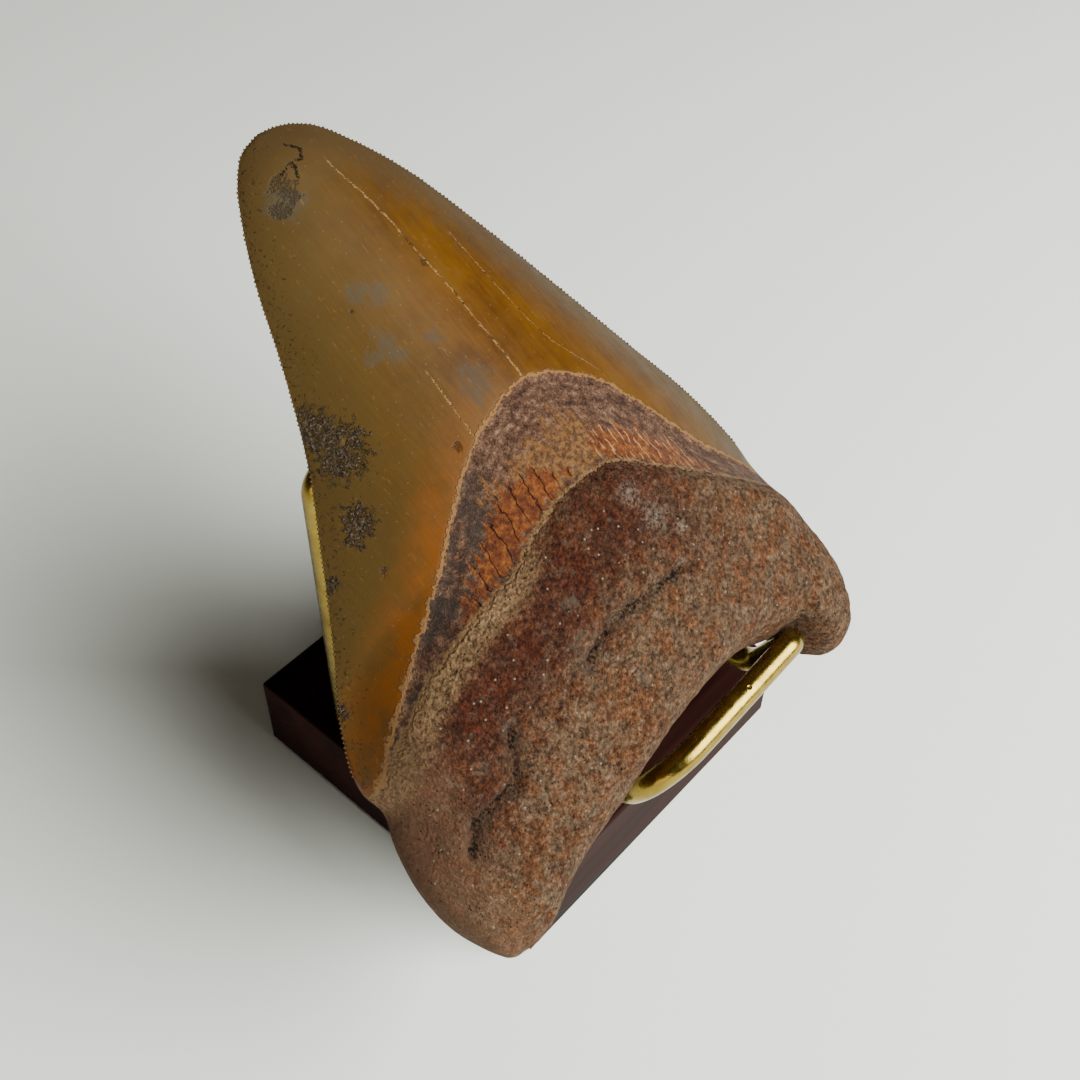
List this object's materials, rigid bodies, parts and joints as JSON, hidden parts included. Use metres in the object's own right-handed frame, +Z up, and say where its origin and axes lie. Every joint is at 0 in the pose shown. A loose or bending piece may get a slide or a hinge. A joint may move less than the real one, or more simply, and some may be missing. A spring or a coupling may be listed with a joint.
{
  "type": "megalodon tooth on stand",
  "caption": "Fossil megalodon tooth with a brown enamel crown and stony root, leaning in a bent brass cradle on a hardwood block.",
  "frame": {"origin": "centre of the hardwood block's underside", "axes": "+X along the block's front edge to the viewer's right, +Y from the front towards the back rest the tooth leans on, +Z up"},
  "size_m": [0.1049, 0.1049, 0.1281],
  "materials": {
    "fossil": "satin enamel over a granular root",
    "brass": "polished",
    "hardwood": "oiled dark hardwood"
  },
  "bodies": {
    "root": {"tooth": "fossil", "front_cradle": "brass", "back_rest": "brass", "block": "hardwood"}
  },
  "joints": []
}
